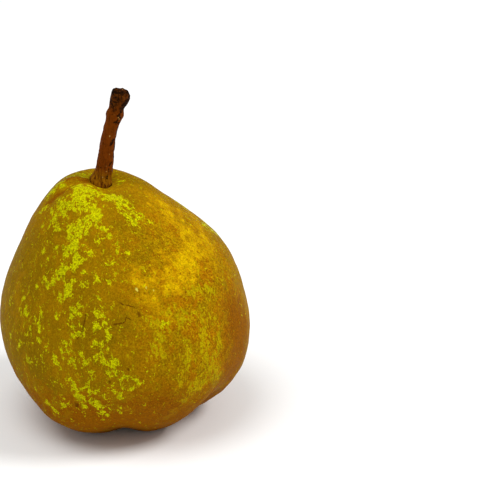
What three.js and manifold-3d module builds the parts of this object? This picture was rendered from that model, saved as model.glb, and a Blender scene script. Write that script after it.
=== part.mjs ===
// A Winter Nelis pear, standing on the lobes round its eye.
//
// Three pieces: the fruit with its skin, the woody stalk rooted in the top, and
// the dried calyx in the basin underneath, which is a cup with five sepals and
// the stamens. Millimetres, +Z up, and the pear stands on z = 0. +X is to the
// right and -Y is towards the viewer. Bearings are in degrees from +X towards +Y.

import * as THREE from 'three';
import { mergeVertices } from 'three/addons/utils/BufferGeometryUtils.js';
import Module from 'manifold-3d';

const wasm = await Module();
wasm.setup();

// Outline of the fruit as radius and height, from the floor of the basin over the
// rim that it stands on, up the belly and over the shoulder to the foot of the stalk.
const PROFILE = [
  [0, 6.2], [4.5, 5.6], [8.6, 2.8], [12.8, 0], [17.1, 1.0], [25.3, 7.2], [30.7, 16], [32.4, 26],
  [30.7, 35.5], [27.1, 44.3], [21.7, 51.9], [15.7, 58.3], [11.6, 62.2], [7.4, 64.5], [3.5, 64.9], [0, 64.6],
];
const PROFILE_STEPS = 52;
const FRUIT_SIDES = 76;

// The belly is a little oval: deeper from front to back than it is wide, as a share
// of the radius. The furrows of the base are pulled in towards its middle.
const BELLY = { height: 26, reach: 22, oval: 0.023 };
// Sideways drift of the core for each millimetre of height.
const LEAN = { x: -0.043, y: -0.051 };
// The neck bends to the left between two heights, and its top dips to the right.
const NECK = { x: -3.6, y: 0.15, from: 20, to: 66, dip: -0.036 };
// The right shoulder is fuller, as a share of the radius.
const SHOULDER = { fuller: 0.1, height: 48, reach: 12 };

// Furrows between the five lobes of the base. The depth is a share of the distance
// to the middle of the belly, the width is in degrees, and the reach is up the side.
const FURROWS = [
  { bearing: 266, depth: 0.06, width: 14, reach: 12 },
  { bearing: 329, depth: 0.106, width: 14, reach: 14 },
  { bearing: 58, depth: 0.055, width: 16, reach: 11 },
  { bearing: 130, depth: 0.05, width: 16, reach: 10 },
  { bearing: 202, depth: 0.03, width: 16, reach: 10 },
];
const FURROW_FULL_RADIUS = 11; // the furrows run out between this radius and the eye

// Swellings and hollows just above the base.
const SWELLINGS = [
  { bearing: 238, out: 3.3, width: 28 },
  { bearing: 305, out: -0.7, width: 28 },
  { bearing: 20, out: -0.4, width: 30 },
];
const SWELLING = { height: 6, reach: 8, from: 8, full: 14 };

// The crown is sunken in front of the stalk and to its right: the deepest place is
// this far off the middle line, at this bearing.
const SLUMP = { bearing: 305, radius: 4.8, depth: 2.4, reach: 6.5 };

// Folds that run out from the stalk over the shoulder. The first two, one up and one
// down, make a lip beside the stalk.
const FOLDS = [
  { bearing: 186, up: 0.45, width: 9 },
  { bearing: 203, up: -0.9, width: 9 },
  { bearing: 300, up: -0.2, width: 14 },
  { bearing: 75, up: 0.25, width: 20 },
];
const FOLD = { radius: 9, reach: 5 };

// Faint unevenness of the side: whole waves round it, radians of wave for each
// millimetre of height, size, and the start of the wave in degrees.
const WAVES = [
  { round: 2, up: 0.055, size: 0.12, start: 40 },
  { round: 3, up: 0.09, size: 0.1, start: 110 },
  { round: 5, up: 0.13, size: 0.08, start: 250 },
];
const WAVES_FADE = { from: 4, full: 14 };

// The skin under the lobes is flattened by its own weight, up to this height.
const PRESSED = 0.3;
const FLOOR_BLOCK = 100;

// Middle line of the stalk, measured from its foot on the skin.
const STALK_ROOT = 5;
const STALK_LINE = [
  [-0.5, 0, -STALK_ROOT], [0.1, 0, 0], [0.95, 0, 3.8], [1.55, 0.1, 7.7], [2.0, 0.2, 10.9], [2.8, 0.35, 14.2],
  [3.8, 0.5, 17.6], [4.8, 0.6, 20.9], [5.8, 0.7, 24.0],
];
// Radius of the stalk and the distance along it, from the end of the root to the cut end.
const STALK_RADII = [
  [0, 0], [1.2, 0.1], [1.75, 0.6], [1.9, 2.4], [2.3, 3.2], [2.65, 4.2], [2.7, 5.2], [2.55, 6.1], [2.25, 7.4],
  [2.08, 9], [1.95, 12], [1.76, 15.5], [1.76, 18.5], [1.82, 21.2], [1.9, 23], [1.92, 25], [2.1, 26.8],
  [2.14, 28.2], [1.9, 29.2], [1.1, 29.7], [0, 29.7],
];
const STALK_LENGTH = 29.7;
const STALK_STEPS = 44;
const STALK_SIDES = 22;

// Knobs and scars of the stalk: where they are along it, and how far they stand out.
const KNOBS = [
  { along: 23.4, bearing: 5, out: 0.3, reach: 1.2, width: 50 },
  { along: 23.0, bearing: 185, out: 0.22, reach: 0.8, width: 45 },
  { along: 24.9, bearing: 350, out: -0.3, reach: 0.8, width: 60 },
  { along: 27.4, bearing: 20, out: 0.3, reach: 1.5, width: 60 },
  { along: 28.6, bearing: 150, out: 0.22, reach: 0.9, width: 40 },
  { along: 28.8, bearing: 260, out: -0.3, reach: 0.8, width: 40 },
  { along: 16.5, bearing: 100, out: 0.14, reach: 2.2, width: 60 },
  { along: 10.2, bearing: 300, out: 0.16, reach: 2.4, width: 50 },
  { along: 6.0, bearing: 185, out: 0.4, reach: 1.1, width: 50 },
  { along: 5.2, bearing: 330, out: 0.15, reach: 0.8, width: 45 },
];

// Cup of the calyx as radius and height above the floor of the basin: the hollow
// from its bottom to the lip, and then the outside up to the end of the root.
const CUP_ROOT = { radius: 2.3, height: 3 };
const CUP_PROFILE = [
  [0, 1.3], [1.3, 1.0], [1.9, -0.65], [2.1, -1.1],
  [2.7, -1.1], [2.9, -0.65], [CUP_ROOT.radius, -0.3], [CUP_ROOT.radius, 2.6], [1.8, CUP_ROOT.height],
  [0, CUP_ROOT.height],
];
const CUP_SIDES = 28;

// Sepals, each a pointed blade from the lip of the cup. The cupping lowers their edges.
const SEPAL = { length: 5.4, sunk: 0.7, width: 3.8, tip: 0.6, thick: 0.7, cupped: 0.3, taper: 1.5 };
const SEPAL_FOOT = { radius: 2.35, height: -1.0, bearing: 18 };
const SEPAL_GRID = { across: 6, along: 9 };
// Spread from straight down at the lip, how far it curls in again, and its twist.
const SEPAL_POSES = [
  { spread: 78, curl: 108, twist: 10 },
  { spread: 70, curl: 40, twist: -14 },
  { spread: 74, curl: 112, twist: 6 },
  { spread: 66, curl: 0, twist: 16 },
  { spread: 76, curl: 88, twist: -8 },
];

// Stamens, which stand on the bottom of the cup and lean outwards.
const STAMENS = 9;
const STAMEN = { radius: 0.31, footRadius: 0.39, length: 2.4, sunk: 1.0, sides: 6, ring: 1.2, inner: 0.35 };
const STAMEN_FOOT = 1.1;
const STAMEN_LEAN = { least: 8, most: 30 };
const STAMEN_LENGTHS = { least: 0.75, most: 1.15 };

const GAP = 0.3; // clearance between a root and the flesh that it stands in
const SEED = 11;

const WORLD_UP = new THREE.Vector3(0, 0, 1);
const MERGE = 1e-4;
const radians = THREE.MathUtils.degToRad;

// 0 below a, 1 above b, and smooth between them.
const smooth = (a, b, x) => THREE.MathUtils.smoothstep(x, a, b);

// A bell curve: 1 at the middle, and 1/e a reach away from it.
const bell = (x, middle, reach) => Math.exp(-(((x - middle) / reach) ** 2));

// The same bell round a circle, in degrees.
function bellRound(bearing, middle, width) {
  const apart = THREE.MathUtils.euclideanModulo(bearing - middle + 180, 360) - 180;
  return bell(apart, 0, width);
}

// Pseudo-random numbers from 0 to 1, the same ones on every run.
function seeded(seed) {
  let state = seed;
  return () => {
    state = (state * 16807) % 2147483647;
    return state / 2147483647;
  };
}

const toPoints = (pairs) => pairs.map(([x, y]) => new THREE.Vector2(x, y));

const material = (color, roughness) => new THREE.MeshStandardMaterial({ color, roughness, metalness: 0 });

// A closed solid from a geometry whose shared corners are split.
function solidOf(geometry) {
  const bare = geometry.clone();
  bare.deleteAttribute('normal');
  bare.deleteAttribute('uv');
  const merged = mergeVertices(bare, MERGE);
  const index = merged.index.array;
  const faces = [];
  for (let i = 0; i < index.length; i += 3) {
    const [a, b, c] = index.slice(i, i + 3);
    if (a !== b && b !== c && c !== a) faces.push(a, b, c);
  }
  return new wasm.Manifold(new wasm.Mesh({
    numProp: 3,
    vertProperties: new Float32Array(merged.attributes.position.array),
    triVerts: new Uint32Array(faces),
  }));
}

function meshOf(solid, name, look) {
  const { vertProperties, triVerts } = solid.getMesh();
  const geometry = new THREE.BufferGeometry();
  geometry.setAttribute('position', new THREE.BufferAttribute(new Float32Array(vertProperties), 3));
  geometry.setIndex(new THREE.BufferAttribute(new Uint32Array(triVerts), 1));
  geometry.computeVertexNormals();
  const mesh = new THREE.Mesh(geometry, look);
  mesh.name = name;
  return mesh;
}

const turned = (profile, sides) => new THREE.LatheGeometry(profile, sides).rotateX(Math.PI / 2);

// The same, with each corner moved to place(radius, height, bearing).
function turnedAndShaped(profile, sides, place) {
  const geometry = turned(profile, sides);
  const position = geometry.getAttribute('position');
  for (let i = 0; i < position.count; i += 1) {
    const [x, y, height] = [position.getX(i), position.getY(i), position.getZ(i)];
    const bearing = THREE.MathUtils.radToDeg(Math.atan2(y, x));
    position.setXYZ(i, ...place(Math.hypot(x, y), height, bearing).toArray());
  }
  return geometry;
}

// How far a point of the skin is from the core, before the furrows are pulled in.
function skinRadius(radius, height, bearing) {
  const a = radians(bearing);
  const oval = -BELLY.oval * bell(height, BELLY.height, BELLY.reach) * Math.cos(2 * a);
  const fuller = SHOULDER.fuller * bell(height, SHOULDER.height, SHOULDER.reach) * Math.cos(a);
  let reached = radius * (1 + oval + fuller);
  for (const { bearing: at, out, width } of SWELLINGS) {
    reached += out * bellRound(bearing, at, width) * bell(height, SWELLING.height, SWELLING.reach)
      * smooth(SWELLING.from, SWELLING.full, radius);
  }
  const uneven = smooth(0, FURROW_FULL_RADIUS, radius) * smooth(WAVES_FADE.from, WAVES_FADE.full, height);
  for (const { round, up, size, start } of WAVES) {
    reached += size * uneven * Math.sin(round * a + up * height + radians(start));
  }
  return reached;
}

// How far the slump and the folds raise a place on the crown.
function crownLift(radius, reached, bearing) {
  const across = reached * Math.cos(radians(bearing)) - SLUMP.radius * Math.cos(radians(SLUMP.bearing));
  const back = reached * Math.sin(radians(bearing)) - SLUMP.radius * Math.sin(radians(SLUMP.bearing));
  let lift = -SLUMP.depth * bell(Math.hypot(across, back), 0, SLUMP.reach);
  for (const { bearing: at, up, width } of FOLDS) {
    lift += up * bellRound(bearing, at, width) * bell(radius, FOLD.radius, FOLD.reach);
  }
  return lift;
}

// A point of the skin, from its place on the profile and its bearing.
function skinPoint(radius, height, bearing) {
  const a = radians(bearing);
  const reached = skinRadius(radius, height, bearing);
  const bend = smooth(NECK.from, NECK.to, height);
  const point = new THREE.Vector3(
    reached * Math.cos(a) + LEAN.x * height + NECK.x * bend,
    reached * Math.sin(a) + LEAN.y * height + NECK.y * bend,
    height + NECK.dip * bend * reached * Math.cos(a),
  );
  if (height > BELLY.height) point.z += crownLift(radius, reached, bearing);
  let pulled = 0;
  for (const { bearing: at, depth, width, reach } of FURROWS) {
    pulled += depth * bellRound(bearing, at, width) * bell(height, 0, reach);
  }
  const heart = new THREE.Vector3(LEAN.x, LEAN.y, 1).multiplyScalar(BELLY.height);
  return point.lerp(heart, pulled * smooth(0, FURROW_FULL_RADIUS, radius));
}

const stalkFoot = skinPoint(0, PROFILE.at(-1)[1], 0);
const calyxFoot = skinPoint(0, PROFILE[0][1], 0);
const stalkLine = new THREE.CatmullRomCurve3(STALK_LINE.map((p) => new THREE.Vector3(...p).add(stalkFoot)));

// A point of the stalk, grown outwards all round by a distance.
function stalkPoint(radius, along, bearing, grown) {
  const share = THREE.MathUtils.clamp(along / STALK_LENGTH, 0, 1);
  const turn = new THREE.Quaternion().setFromUnitVectors(WORLD_UP, stalkLine.getTangentAt(share));
  let reached = radius;
  for (const { along: at, bearing: side, out, reach, width } of KNOBS) {
    reached += Math.min(radius, 1) * out * bell(along, at, reach) * bellRound(bearing, side, width);
  }
  if (radius > 0) reached += grown;
  const a = radians(bearing);
  const outward = new THREE.Vector3(reached * Math.cos(a), reached * Math.sin(a), 0);
  return stalkLine.getPointAt(share).add(outward.applyQuaternion(turn));
}

function makeStalk(grown = 0) {
  const profile = new THREE.SplineCurve(toPoints(STALK_RADII)).getPoints(STALK_STEPS);
  for (const p of profile) p.x = Math.max(p.x, 0);
  return solidOf(turnedAndShaped(profile, STALK_SIDES, (...at) => stalkPoint(...at, grown)));
}

// The hole for the stalk: the stalk grown by the clearance, and set that much deeper.
function makeStalkSocket() {
  const down = stalkLine.getTangentAt(0).multiplyScalar(-GAP);
  return makeStalk(GAP).translate(down.toArray());
}

// The flesh and skin, flattened a little where the lobes bear on the surface below.
function makeFlesh() {
  const profile = new THREE.SplineCurve(toPoints(PROFILE)).getPoints(PROFILE_STEPS);
  return solidOf(turnedAndShaped(profile, FRUIT_SIDES, skinPoint));
}

function makeFloorBlock() {
  const block = new THREE.BoxGeometry(FLOOR_BLOCK, FLOOR_BLOCK, FLOOR_BLOCK);
  return solidOf(block.translate(0, 0, PRESSED - FLOOR_BLOCK / 2));
}

function makeCup() {
  return solidOf(turned(toPoints(CUP_PROFILE), CUP_SIDES)).translate(calyxFoot.toArray());
}

// The hole for the root of the cup, open to the basin.
function makeCupSocket() {
  const radius = CUP_ROOT.radius + GAP;
  const top = CUP_ROOT.height + GAP;
  const plug = new THREE.CylinderGeometry(radius, radius, 2 * top, CUP_SIDES).rotateX(Math.PI / 2);
  return solidOf(plug).translate(calyxFoot.toArray());
}

// A thin closed blade over a grid. place(u, v, side) gives a corner: u runs from -1
// to 1 across, v from 0 to 1 along, and side is 1 on the upper face, -1 on the lower.
function makeBlade({ across, along }, place) {
  const points = [];
  const faces = [];
  const perSide = (across + 1) * (along + 1);
  const corner = (i, j, side) => (side > 0 ? 0 : perSide) + j * (across + 1) + i;
  const quad = (a, b, c, d) => faces.push(a, b, c, a, c, d);
  for (const side of [1, -1]) {
    for (let j = 0; j <= along; j += 1) {
      for (let i = 0; i <= across; i += 1) points.push(...place(2 * i / across - 1, j / along, side));
    }
  }
  for (let j = 0; j < along; j += 1) {
    for (let i = 0; i < across; i += 1) {
      quad(corner(i, j, 1), corner(i, j + 1, 1), corner(i + 1, j + 1, 1), corner(i + 1, j, 1));
      quad(corner(i, j, -1), corner(i + 1, j, -1), corner(i + 1, j + 1, -1), corner(i, j + 1, -1));
    }
    quad(corner(0, j, 1), corner(0, j, -1), corner(0, j + 1, -1), corner(0, j + 1, 1));
    quad(corner(across, j, -1), corner(across, j, 1), corner(across, j + 1, 1), corner(across, j + 1, -1));
  }
  for (let i = 0; i < across; i += 1) {
    quad(corner(i, 0, -1), corner(i, 0, 1), corner(i + 1, 0, 1), corner(i + 1, 0, -1));
    quad(corner(i, along, 1), corner(i, along, -1), corner(i + 1, along, -1), corner(i + 1, along, 1));
  }
  const geometry = new THREE.BufferGeometry();
  geometry.setAttribute('position', new THREE.Float32BufferAttribute(points, 3));
  geometry.setIndex(faces);
  return solidOf(geometry);
}

// Where the middle line of a sepal is after a distance along it: outwards from the
// lip, down from it, and its slope there from straight down, in radians.
function sepalLine(pose, distance) {
  const steps = 24;
  const slopeAt = (s) => radians(pose.spread - pose.curl * Math.max(s, 0) / SEPAL.length);
  let [out, down] = [0, 0];
  for (let k = 0; k < steps; k += 1) {
    const slope = slopeAt(distance * (k + 0.5) / steps);
    out += Math.sin(slope) * distance / steps;
    down += Math.cos(slope) * distance / steps;
  }
  return { out, down, slope: slopeAt(distance) };
}

// One dried sepal: pointed, cupped along its middle, and curled in towards its tip.
function makeSepal(pose, number) {
  const bearing = radians(SEPAL_FOOT.bearing + number * 360 / SEPAL_POSES.length);
  const outward = new THREE.Vector3(Math.cos(bearing), Math.sin(bearing), 0);
  const sideways = new THREE.Vector3(-Math.sin(bearing), Math.cos(bearing), 0);
  return makeBlade(SEPAL_GRID, (u, v, side) => {
    const { out, down, slope } = sepalLine(pose, v * (SEPAL.length + SEPAL.sunk) - SEPAL.sunk);
    const half = THREE.MathUtils.lerp(SEPAL.width, SEPAL.tip, v ** SEPAL.taper) / 2;
    const rolled = radians(pose.twist) * v;
    const wide = u * half;
    const face = side * SEPAL.thick / 2 - SEPAL.cupped * half * u * u + Math.sin(rolled) * wide;
    const corner = calyxFoot.clone()
      .addScaledVector(outward, SEPAL_FOOT.radius + out + Math.cos(slope) * face)
      .addScaledVector(sideways, Math.cos(rolled) * wide)
      .addScaledVector(WORLD_UP, SEPAL_FOOT.height - down + Math.sin(slope) * face);
    return corner.toArray();
  });
}

// Every third stamen stands near the middle, and the rest in a ring.
function makeStamens() {
  const random = seeded(SEED);
  const between = ({ least, most }) => THREE.MathUtils.lerp(least, most, random());
  return Array.from({ length: STAMENS }, (_, number) => {
    const bearing = 2 * Math.PI * (number + random() / 2) / STAMENS;
    const length = STAMEN.length * between(STAMEN_LENGTHS) + STAMEN.sunk;
    const ring = number % 3 === 0 ? STAMEN.inner : STAMEN.ring;
    const rod = new THREE.CylinderGeometry(STAMEN.radius, STAMEN.footRadius, length, STAMEN.sides);
    rod.rotateX(-Math.PI / 2);
    rod.translate(0, 0, STAMEN.sunk - length / 2);
    rod.rotateY(-radians(between(STAMEN_LEAN)));
    rod.translate(ring, 0, STAMEN_FOOT);
    rod.rotateZ(bearing);
    return solidOf(rod).translate(calyxFoot.toArray());
  });
}

function makeCalyx() {
  const pieces = [...SEPAL_POSES.map(makeSepal), ...makeStamens()];
  return pieces.reduce((whole, piece) => whole.add(piece), makeCup());
}

const fruit = makeFlesh()
  .subtract(makeFloorBlock())
  .subtract(makeStalkSocket())
  .subtract(makeCupSocket());

const pear = new THREE.Group();
pear.add(
  meshOf(fruit, 'fruit', material('#96700a', 0.55)),
  meshOf(makeStalk(), 'stalk', material('#643009', 0.75)),
  meshOf(makeCalyx(), 'calyx', material('#3b2412', 0.85)),
);

// The middle of the pear's box goes over the origin, and its flattened spots on z = 0.
const middle = new THREE.Box3().setFromObject(pear).getCenter(new THREE.Vector3());
pear.position.set(-middle.x, -middle.y, -PRESSED);

export default pear;
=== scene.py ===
import math

import bpy
import numpy as np
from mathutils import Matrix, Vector, noise

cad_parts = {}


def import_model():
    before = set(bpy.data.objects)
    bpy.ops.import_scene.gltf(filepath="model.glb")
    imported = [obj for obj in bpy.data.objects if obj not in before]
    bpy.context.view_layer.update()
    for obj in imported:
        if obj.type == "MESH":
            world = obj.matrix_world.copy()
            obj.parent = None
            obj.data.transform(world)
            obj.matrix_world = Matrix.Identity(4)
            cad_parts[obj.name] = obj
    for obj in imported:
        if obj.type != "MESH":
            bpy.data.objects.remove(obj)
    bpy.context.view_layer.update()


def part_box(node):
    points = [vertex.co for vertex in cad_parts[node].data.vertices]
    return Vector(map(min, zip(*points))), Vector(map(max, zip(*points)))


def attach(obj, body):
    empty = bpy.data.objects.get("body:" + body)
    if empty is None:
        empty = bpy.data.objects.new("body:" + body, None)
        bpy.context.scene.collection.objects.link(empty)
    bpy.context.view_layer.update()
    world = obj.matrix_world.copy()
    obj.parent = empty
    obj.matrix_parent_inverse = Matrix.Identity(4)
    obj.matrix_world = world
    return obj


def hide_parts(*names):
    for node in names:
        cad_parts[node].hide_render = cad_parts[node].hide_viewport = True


# The looks of a Winter Nelis pear: a finely modelled skin, stalk and calyx that stand
# for the three CAD pieces, their painted materials, the light and the camera.
# Metres, +Z up, the pear stands on z = 0 and its front is at -Y. Bearings are in
# degrees from +X towards +Y.

# Outline of the fruit as radius and height, from the floor of the basin to the stalk.
PROFILE = [
    (0, 0.0062), (0.0045, 0.0056), (0.0086, 0.0028), (0.0128, 0), (0.0171, 0.001), (0.0253, 0.0072),
    (0.0307, 0.016), (0.0324, 0.026), (0.0307, 0.0355), (0.0271, 0.0443), (0.0217, 0.0519),
    (0.0157, 0.0583), (0.0116, 0.0622), (0.0074, 0.0645), (0.0035, 0.0649), (0, 0.0646),
]
SKIN_RINGS = 225
SKIN_SIDES = 400
# Curves are first drawn with this many points for each one that is kept.
CURVE_FINER = 40

BELLY = {"height": 0.026, "reach": 0.022, "oval": 0.023}
LEAN = (-0.043, -0.051)
NECK = {"x": -0.0036, "y": 0.00015, "low": 0.02, "high": 0.066, "dip": -0.036}
SHOULDER = {"fuller": 0.1, "height": 0.048, "reach": 0.012}

# Furrows between the lobes of the base: bearing, depth, width in degrees, reach up the side.
FURROWS = [
    (266, 0.06, 14, 0.012),
    (329, 0.106, 14, 0.014),
    (58, 0.055, 16, 0.011),
    (130, 0.05, 16, 0.01),
    (202, 0.03, 16, 0.01),
]
FURROW_FULL_RADIUS = 0.011
# Swellings just above the base: bearing, how far out, width in degrees.
SWELLINGS = [(238, 0.0033, 28), (305, -0.0007, 28), (20, -0.0004, 30)]
SWELLING = {"height": 0.006, "reach": 0.008, "low": 0.008, "high": 0.014}
# The crown is sunken in front of the stalk and to its right.
SLUMP = {"bearing": 305, "radius": 0.0048, "depth": 0.0024, "reach": 0.0065}
# Folds that run out from the stalk over the shoulder: bearing, how far up, width in degrees.
FOLDS = [(186, 0.00045, 9), (203, -0.0009, 9), (300, -0.0002, 14), (75, 0.00025, 20)]
FOLD = {"radius": 0.009, "reach": 0.005}
# Unevenness of the side: waves round, radians of wave for each metre up, size, start in degrees.
WAVES = [(2, 55, 0.00012, 40), (3, 90, 0.0001, 110), (5, 130, 0.00008, 250)]
WAVES_FADE = (0.004, 0.014)
# How much smoother and finer each octave of the uneven surfaces is than the one before.
OCTAVE = {"smoother": 0.8, "finer": 2.0}
# Dimples, which go in only, so that the skin keeps its size. They start at the first of the
# two radii and are full at the second.
DIMPLES = {"scale": 170, "size": 0.00012, "from": 0.003, "full": 0.01}
# The pear sinks this far into the floor, which flattens its five spots.
PRESSED = 0.0003

# Stalk: its middle line from its foot on the skin, then its radius along it.
STALK_ROOT = 0.005
STALK_LINE = [
    (-0.0005, 0, -STALK_ROOT), (0.0001, 0, 0), (0.00095, 0, 0.0038), (0.00155, 0.0001, 0.0077),
    (0.002, 0.0002, 0.0109), (0.0028, 0.00035, 0.0142), (0.0038, 0.0005, 0.0176),
    (0.0048, 0.0006, 0.0209), (0.0058, 0.0007, 0.024),
]
STALK_RADII = [
    (0, 0), (0.0012, 0.0001), (0.00175, 0.0006), (0.0019, 0.0024), (0.0023, 0.0032),
    (0.00265, 0.0042), (0.0027, 0.0052), (0.00255, 0.0061), (0.00225, 0.0074), (0.00208, 0.009),
    (0.00195, 0.012), (0.00176, 0.0155), (0.00176, 0.0185), (0.00182, 0.0212), (0.0019, 0.023),
    (0.00192, 0.025), (0.0021, 0.0268), (0.00214, 0.0282), (0.0019, 0.0292), (0.0011, 0.0297),
    (0, 0.0297),
]
STALK_LENGTH = 0.0297
STALK_RINGS = 300
STALK_SIDES = 120
# Knobs and scars: along the stalk, bearing, how far out, reach along, width in degrees.
KNOBS = [
    (0.0234, 5, 0.0003, 0.0012, 50), (0.023, 185, 0.00022, 0.0008, 45),
    (0.0249, 350, -0.0003, 0.0008, 60), (0.0274, 20, 0.0003, 0.0015, 60),
    (0.0286, 150, 0.00022, 0.0009, 40), (0.0288, 260, -0.0003, 0.0008, 40),
    (0.0165, 100, 0.00014, 0.0022, 60), (0.0102, 300, 0.00016, 0.0024, 50),
    (0.006, 185, 0.0004, 0.0011, 50), (0.0052, 330, 0.00015, 0.0008, 45),
]
# Relief of the bark: ridges along it, lumps, and crumbs on the cut end, which is sunken.
BARK_SIZES = {"ridges": 0.00007, "lumps": 0.00016, "crumbs": 0.0002, "sunken": 0.00013}
BARK_SCALES = {"ridges": 3, "ridges_along": 60, "lumps": 420, "crumbs": 900}
CRUMBS_FROM = (0.0262, 0.029)
CUT_FROM = (0.0285, 0.0297)
# Knobs and relief fade where the stalk is thinner than this, at its two ends.
STALK_FADE = 0.001

# Black cracks and pits in the bark, and a long dark line down the right side of the stalk from
# 0.012 to 0.02 along: from along and bearing to along and bearing, and reach.
CRACKS = [
    (0.0215, 285, 0.0215, 345, 0.00036), (0.0236, 300, 0.0262, 335, 0.00042),
    (0.0222, 305, 0.023, 318, 0.0003), (0.0157, 296, 0.0168, 318, 0.0004),
    (0.0104, 304, 0.0112, 320, 0.0003), (0.012, 345, 0.02, 352, 0.00045),
    (0.0265, 310, 0.028, 340, 0.0005), (0.007, 300, 0.0095, 303, 0.00022),
    (0.0046, 320, 0.0054, 335, 0.0003), (0.004, 270, 0.0042, 290, 0.0003),
    (0.011, 80, 0.015, 95, 0.0004), (0.019, 120, 0.0192, 170, 0.00026),
    (0.008, 150, 0.01, 140, 0.00036),
]
# The skin goes up into the calyx's cup, out of sight: from and to these radii, and how far.
SOCKET = {"full": 0.0018, "edge": 0.0026, "depth": 0.002}
# Calyx: the cup as radius and height above the floor of the basin, and its unevenness.
CUP_PROFILE = [
    (0, 0.0013), (0.0013, 0.001), (0.0019, -0.00065), (0.0021, -0.0011), (0.0027, -0.0011),
    (0.0029, -0.00065), (0.0023, -0.0003), (0.0023, 0.0026), (0.0018, 0.003), (0, 0.003),
]
CUP_RINGS = 90
CUP_SIDES = 96
CUP_UNEVEN = {"scale": 1500, "size": 0.00008, "full": 0.001}
# Sepals: how far they are sunk into the cup, how they taper and thin out to the tip, and
# their ripples, as waves along, waves across and how close to the edges they keep.
SEPAL = {
    "length": 0.0054, "sunk": 0.0007, "width": 0.0038, "tip": 0.0003, "thick": 0.0006,
    "cupped": 0.3, "taper": 1.5, "thinner": 0.5,
}
RIPPLE = {"size": 0.00022, "along": 9, "across": 5, "edge": 1.5}
SEPAL_UNEVEN = {"scale": 2500, "size": 0.00006}
SEPAL_FOOT = {"radius": 0.00235, "height": -0.001, "bearing": 18}
SEPAL_GRID = (28, 56)
# Spread from straight down at the lip, curl along the blade and twist, in degrees.
SEPAL_POSES = [(78, 108, 10), (70, 40, -14), (74, 112, 6), (66, 0, 16), (76, 88, -8)]
# Stamens stand in a ring, and each third one nearer to its middle. Their lean is in
# degrees. How far they are shifted round, their lengths and leans are drawn at random.
STAMENS = 11
STAMEN = {
    "length": 0.0024, "ring": 0.0012, "inner": 0.35, "foot": 0.0009, "shifted": 0.5,
    "shortest": 0.75, "varies": 0.4, "least_lean": 8, "lean_varies": 22,
}
STAMEN_THREAD = {"radius": 0.0002, "thick": 1.2, "thinner": 0.5}
STAMEN_HEAD = {"radius": 0.00042, "at": 0.93, "reach": 0.07}
STAMEN_RINGS = 22
STAMEN_SIDES = 10
SEED = 11

# Where the green ground shows through the russet: streaks from one place to another and
# how far they reach to each side. A place is a bearing and a distance down from the stalk.
GREEN_STREAKS = [
    (234, 0.0076, 258, 0.0064, 0.0012), (262, 0.0062, 276, 0.0066, 0.001),
    (246, 0.0088, 252, 0.0125, 0.0012), (249, 0.0363, 247, 0.0385, 0.0008),
    (292, 0.0085, 294, 0.0131, 0.0009), (296, 0.014, 300, 0.0185, 0.0009),
    (165, 0.008, 150, 0.0035, 0.0017), (194, 0.0095, 182, 0.017, 0.0008),
    (236, 0.008, 258, 0.0077, 0.0024), (236, 0.008, 235, 0.013, 0.0019),
    (218, 0.0145, 232, 0.0164, 0.0014), (216, 0.018, 229, 0.0205, 0.001),
    (247, 0.013, 248, 0.0145, 0.0012), (278, 0.0091, 300, 0.0075, 0.0011),
    (300, 0.0075, 306, 0.011, 0.0012), (303, 0.012, 309, 0.0164, 0.0014),
    (300, 0.0176, 302, 0.0178, 0.0009), (313, 0.0185, 317, 0.0188, 0.0009),
    (358, 0.0046, 8, 0.0048, 0.0009), (266, 0.0126, 268, 0.0159, 0.0013),
    (268, 0.0159, 256, 0.018, 0.0014), (256, 0.018, 249, 0.0211, 0.0017),
    (249, 0.0211, 252, 0.0255, 0.0016), (252, 0.0255, 254, 0.0286, 0.0014),
    (244, 0.0267, 250, 0.0262, 0.0011), (244, 0.0201, 247, 0.0215, 0.001),
    (254, 0.0286, 261, 0.0269, 0.0007), (272, 0.019, 276, 0.019, 0.0009),
    (273, 0.0214, 277, 0.0212, 0.0007), (282, 0.0228, 286, 0.0226, 0.0008),
    (273, 0.028, 276, 0.0278, 0.0007), (252, 0.03, 242, 0.0332, 0.001),
    (242, 0.0332, 236, 0.0367, 0.0009), (252, 0.0337, 249, 0.0363, 0.001),
    (256, 0.0393, 251, 0.0425, 0.0011), (265, 0.04, 268, 0.0425, 0.0012),
    (264, 0.0432, 264, 0.044, 0.0009), (257, 0.0453, 253, 0.0473, 0.001),
    (262, 0.0478, 265, 0.048, 0.0009), (268, 0.0458, 268, 0.0463, 0.0008),
    (246, 0.0493, 246, 0.0515, 0.001), (249, 0.0505, 252, 0.0543, 0.001),
    (255, 0.0508, 258, 0.055, 0.001), (261, 0.0522, 270, 0.0527, 0.0015),
    (267, 0.0552, 279, 0.0578, 0.0011), (249, 0.0588, 251, 0.062, 0.0012),
    (256, 0.0588, 257, 0.0606, 0.0009), (251, 0.063, 253, 0.0662, 0.0011),
    (256, 0.063, 257, 0.064, 0.0007), (268, 0.0602, 270, 0.0624, 0.0011),
    (272, 0.06, 274, 0.06, 0.0009), (259, 0.0646, 262, 0.069, 0.0011),
    (269, 0.067, 270, 0.0684, 0.001), (242, 0.0667, 243, 0.0672, 0.0009),
    (242, 0.0536, 242, 0.0545, 0.0008), (294, 0.0433, 293, 0.044, 0.0009),
    (302, 0.051, 303, 0.0525, 0.0009),
]
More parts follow.
